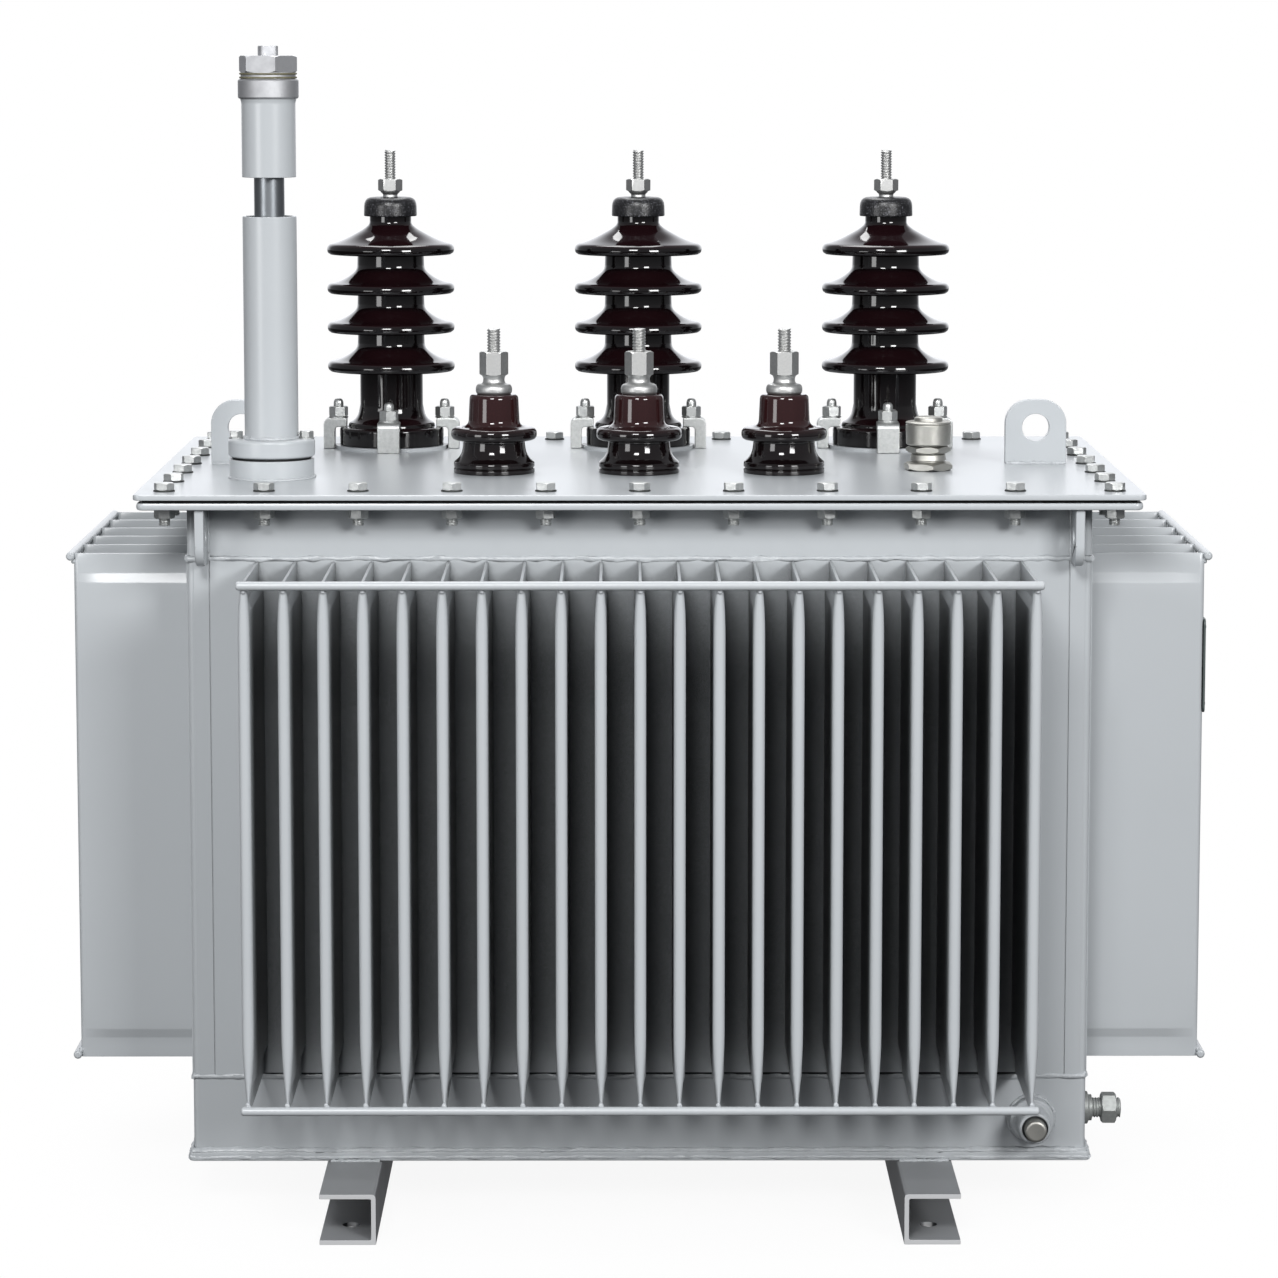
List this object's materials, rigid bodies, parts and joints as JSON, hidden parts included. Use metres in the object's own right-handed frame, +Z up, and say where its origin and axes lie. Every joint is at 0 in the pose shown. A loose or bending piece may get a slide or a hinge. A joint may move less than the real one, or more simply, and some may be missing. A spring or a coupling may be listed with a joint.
{
  "type": "power transformer",
  "caption": "Oil-filled power transformer: finned steel tank on channel feet, bolted lid with porcelain bushings, filler pipe and lifting eyes.",
  "frame": {"origin": "on the ground under the middle of the tank", "axes": "+Z up, front with the drain plug towards -Y, filler pipe towards -X"},
  "size_m": [1.209, 0.928, 1.2215],
  "materials": {
    "tank_paint": "light grey gloss enamel",
    "foot_paint": "grey enamel, duller",
    "porcelain": "dark brown glaze",
    "cap_rubber": "matt black, speckled",
    "gasket_rubber": "matt black",
    "terminal_steel": "tinned",
    "zinc": "galvanised",
    "nickel": "turned, bright",
    "sight_glass": "clear tube"
  },
  "bodies": {
    "root": {"base_plate": "tank_paint", "drain_boss": "tank_paint", "drain_plug": "nickel", "earth_stud": "zinc", "filler_boss": "tank_paint", "filler_cap": "nickel", "filler_collar": "nickel", "filler_pipe": "tank_paint", "filler_sleeve": "tank_paint", "foot_left": "foot_paint", "foot_right": "foot_paint", "front_fin_rods": "tank_paint", "front_fins": "tank_paint", "hv_bushing_1": "porcelain", "hv_bushing_2": "porcelain", "hv_bushing_3": "porcelain", "hv_caps": "cap_rubber", "hv_clamps_1": "zinc", "hv_clamps_2": "zinc", "hv_clamps_3": "zinc", "hv_seats": "tank_paint", "hv_terminals": "terminal_steel", "left_fin_rods": "tank_paint", "left_fins": "tank_paint", "level_tube": "sight_glass", "lid": "tank_paint", "lid_gasket": "gasket_rubber", "lifting_eye_left": "tank_paint", "lifting_eye_right": "tank_paint", "lug_front_left": "tank_paint", "lug_front_right": "tank_paint", "lug_rear_left": "tank_paint", "lug_rear_right": "tank_paint", "lv_bushing_1": "porcelain", "lv_bushing_2": "porcelain", "lv_bushing_3": "porcelain", "lv_terminals": "terminal_steel", "rear_fin_rods": "tank_paint", "rear_fins": "tank_paint", "relief_valve": "nickel", "right_fin_rods": "tank_paint", "right_fins": "tank_paint", "tank_body": "tank_paint", "top_flange": "tank_paint"}
  },
  "joints": []
}
